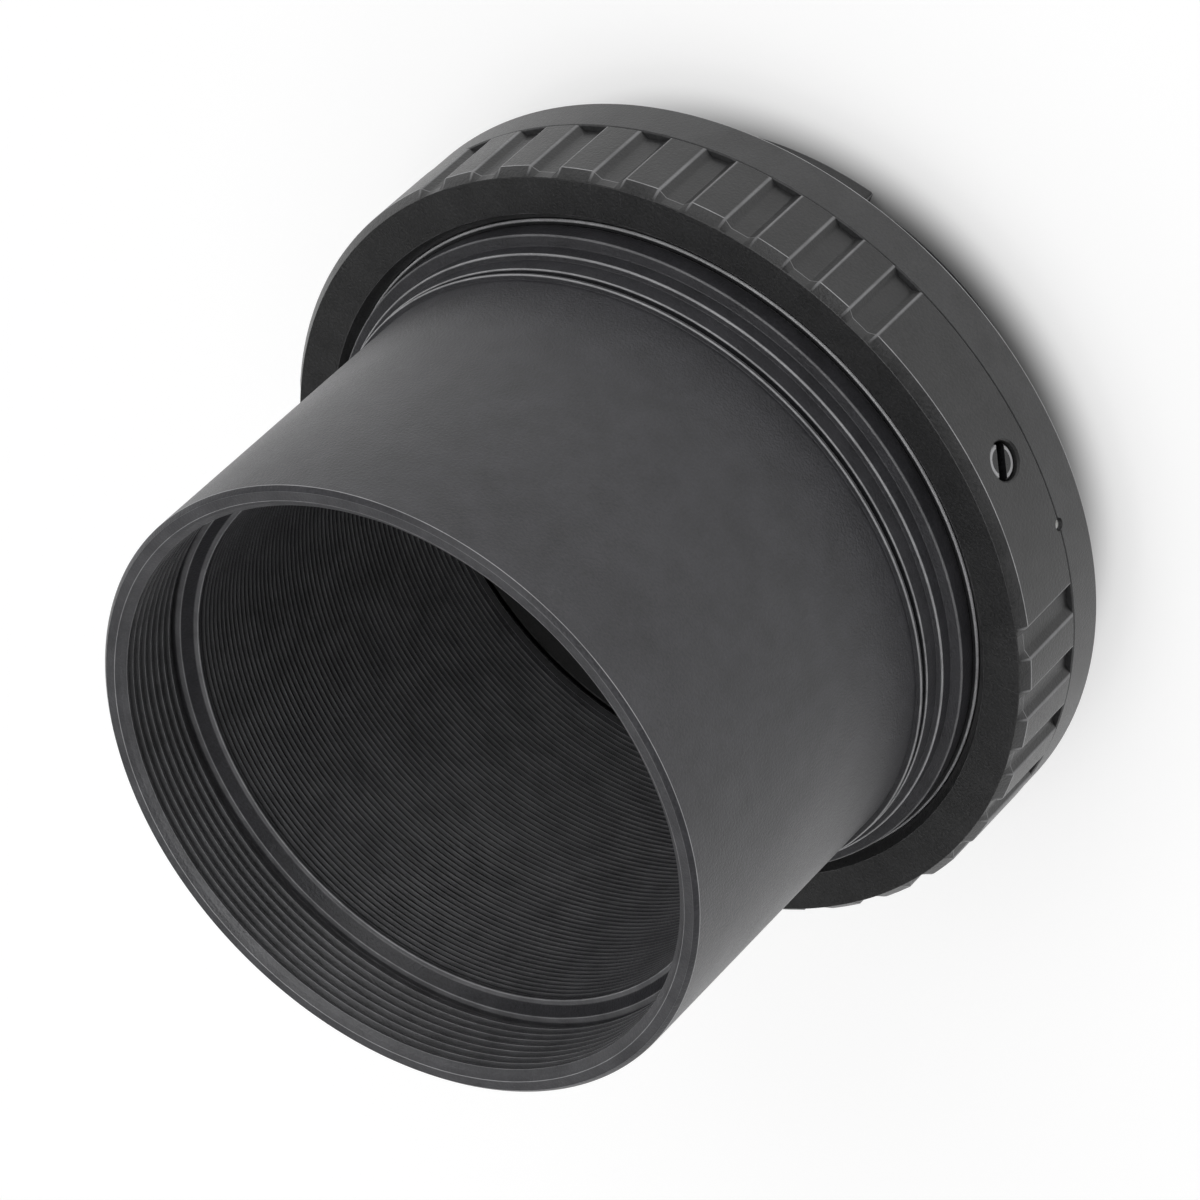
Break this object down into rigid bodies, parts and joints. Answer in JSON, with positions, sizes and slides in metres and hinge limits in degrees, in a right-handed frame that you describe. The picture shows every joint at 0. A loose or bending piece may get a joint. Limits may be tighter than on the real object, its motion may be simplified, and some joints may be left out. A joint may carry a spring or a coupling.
{
  "type": "telescope camera adapter",
  "caption": "Hollow two-inch nosepiece screwed into a turning threaded insert, held by set screws in a grooved ring with a camera bayonet mount.",
  "frame": {"origin": "centre of the rear end of the bayonet tube, at the bottom of the part", "axes": "+Z along the light path, from the camera side towards the nose rim; X and Y across it"},
  "size_m": [0.064, 0.064, 0.052],
  "materials": {
    "barrel_anodise": "satin black anodised, fine blasted grain",
    "insert_anodise": "satin black anodised, fine turned",
    "ring_anodise": "satin black anodised, fine blasted grain",
    "mount_anodise": "satin black anodised, fine turned",
    "set_screw_steel": "black oxide steel",
    "flange_screw_steel": "black oxide steel"
  },
  "bodies": {
    "mount_ring": {"grip_ring": "ring_anodise", "bayonet_mount": "mount_anodise", "flange_screw_1": "flange_screw_steel", "flange_screw_2": "flange_screw_steel", "flange_screw_3": "flange_screw_steel", "flange_screw_4": "flange_screw_steel"},
    "insert": {"thread_insert": "insert_anodise"},
    "nosepiece": {"nosepiece_barrel": "barrel_anodise"},
    "set_screw_1": {"set_screw_1": "set_screw_steel"},
    "set_screw_2": {"set_screw_2": "set_screw_steel"},
    "set_screw_3": {"set_screw_3": "set_screw_steel"}
  },
  "joints": [
    {"name": "insert_turn", "type": "hinge", "parent": "mount_ring", "child": "insert", "pos_m": [0, 0, 0.0138], "axis": [0, 0, 1], "continuous": true},
    {"name": "nosepiece_release", "type": "slide", "parent": "insert", "child": "nosepiece", "axis": [0, 0, 1], "range_m": [0, 0.02]},
    {"name": "set_screw_1_back_out", "type": "slide", "parent": "mount_ring", "child": "set_screw_1", "axis": [-0.3987, -0.9171, 0], "range_m": [0, 0.0015]},
    {"name": "set_screw_2_back_out", "type": "slide", "parent": "mount_ring", "child": "set_screw_2", "axis": [0.9936, 0.1132, 0], "range_m": [0, 0.0015]},
    {"name": "set_screw_3_back_out", "type": "slide", "parent": "mount_ring", "child": "set_screw_3", "axis": [-0.5948, 0.8039, 0], "range_m": [0, 0.0015]}
  ]
}
